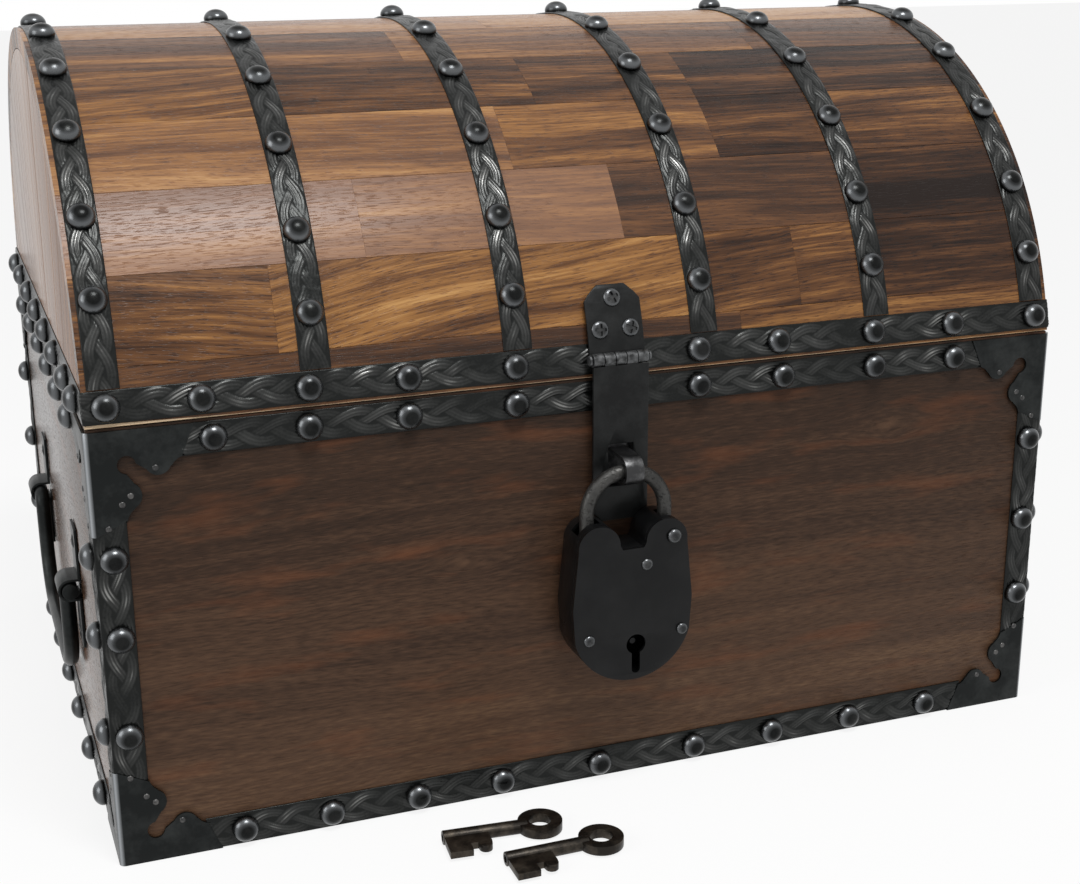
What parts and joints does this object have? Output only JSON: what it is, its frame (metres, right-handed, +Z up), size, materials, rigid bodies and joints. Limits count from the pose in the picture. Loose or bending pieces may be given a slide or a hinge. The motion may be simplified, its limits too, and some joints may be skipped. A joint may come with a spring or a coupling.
{
  "type": "treasure chest",
  "caption": "Domed-lid wooden treasure chest with studded iron bands, corner plates, hasp and padlock, bail handles and loose keys.",
  "frame": {"origin": "centre of the base, on the floor, midway between the end panels and between the front and back", "axes": "+X along the front to the right hand of someone who faces it, +Y from the front to the back, +Z up"},
  "size_m": [0.4524, 0.406, 0.3292],
  "materials": {
    "walnut_stain": "dark walnut stain, satin",
    "lid_board_stain": "golden brown stain, satin lacquer",
    "blackened_iron": "blackened, embossed rope pattern",
    "lock_black": "matt black",
    "pin_steel": "dark steel",
    "key_bronze": "dark cast metal"
  },
  "bodies": {
    "body": {"front_panel": "walnut_stain", "back_panel": "walnut_stain", "left_end_panel": "walnut_stain", "right_end_panel": "walnut_stain", "bottom_panel": "walnut_stain", "body_rim_band": "blackened_iron", "foot_band": "blackened_iron", "corner_strip_front_left": "blackened_iron", "corner_strip_front_right": "blackened_iron", "corner_strip_back_left": "blackened_iron", "corner_strip_back_right": "blackened_iron", "corner_bracket_top_front_left": "blackened_iron", "corner_bracket_top_front_right": "blackened_iron", "corner_bracket_top_back_left": "blackened_iron", "corner_bracket_top_back_right": "blackened_iron", "corner_bracket_bottom_front_left": "blackened_iron", "corner_bracket_bottom_front_right": "blackened_iron", "corner_bracket_bottom_back_left": "blackened_iron", "corner_bracket_bottom_back_right": "blackened_iron", "hinge_left_body_leaf": "blackened_iron", "hinge_right_body_leaf": "blackened_iron", "hinge_left_pin": "pin_steel", "hinge_right_pin": "pin_steel", "hasp_staple": "lock_black", "left_handle_saddle_front": "blackened_iron", "left_handle_saddle_back": "blackened_iron", "right_handle_saddle_front": "blackened_iron", "right_handle_saddle_back": "blackened_iron"},
    "lid": {"lid_board_1": "lid_board_stain", "lid_board_2": "lid_board_stain", "lid_board_3": "lid_board_stain", "lid_board_4": "lid_board_stain", "lid_board_5": "lid_board_stain", "lid_board_6": "lid_board_stain", "lid_rim_board_front": "lid_board_stain", "lid_rim_board_back": "lid_board_stain", "lid_left_end": "lid_board_stain", "lid_right_end": "lid_board_stain", "lid_band_1": "blackened_iron", "lid_band_2": "blackened_iron", "lid_band_3": "blackened_iron", "lid_band_4": "blackened_iron", "lid_band_5": "blackened_iron", "lid_band_6": "blackened_iron", "lid_rim_band": "blackened_iron", "hinge_left_lid_leaf": "blackened_iron", "hinge_right_lid_leaf": "blackened_iron", "hasp_lid_leaf": "lock_black", "hasp_pin": "pin_steel"},
    "hasp": {"hasp_strap": "lock_black"},
    "shackle": {"padlock_shackle": "blackened_iron"},
    "lock_case": {"padlock_case": "lock_black", "padlock_front_plate": "lock_black", "padlock_pivot_pin": "pin_steel", "padlock_spring": "pin_steel"},
    "lock_bolt": {"padlock_bolt": "pin_steel"},
    "left_bail": {"left_handle_bail": "blackened_iron"},
    "right_bail": {"right_handle_bail": "blackened_iron"},
    "key_one": {"key_1": "key_bronze"},
    "key_two": {"key_2": "key_bronze"}
  },
  "joints": [
    {"name": "lid_hinge", "type": "hinge", "parent": "body", "child": "lid", "pos_m": [0, 0.1683, 0.1852], "axis": [-1, 0, 0], "range_deg": [0, 105]},
    {"name": "hasp_swing", "type": "hinge", "parent": "lid", "child": "hasp", "pos_m": [0.0005, -0.1672, 0.1933], "axis": [-1, 0, 0], "range_deg": [0, 134]},
    {"name": "shackle_swing", "type": "hinge", "parent": "body", "child": "shackle", "pos_m": [0.0005, -0.1784, 0.1477], "axis": [-1, 0, 0], "range_deg": [0, 80]},
    {"name": "lock_case_pivot", "type": "hinge", "parent": "shackle", "child": "lock_case", "pos_m": [0.0175, -0.1784, 0.1196], "axis": [0, -1, 0], "range_deg": [0, 80]},
    {"name": "bolt_slide", "type": "slide", "parent": "lock_case", "child": "lock_bolt", "axis": [-1, 0, 0], "range_m": [0, 0.003]},
    {"name": "left_bail_swing", "type": "hinge", "parent": "body", "child": "left_bail", "pos_m": [-0.2211, 0, 0.0895], "axis": [0, 1, 0], "range_deg": [0, 175]},
    {"name": "right_bail_swing", "type": "hinge", "parent": "body", "child": "right_bail", "pos_m": [0.2211, 0, 0.0895], "axis": [0, -1, 0], "range_deg": [0, 175]},
    {"name": "key_1_lift", "type": "slide", "parent": "body", "child": "key_one", "axis": [0, 0, 1], "range_m": [0, 0.06]},
    {"name": "key_2_lift", "type": "slide", "parent": "body", "child": "key_two", "axis": [0, 0, 1], "range_m": [0, 0.06]}
  ]
}
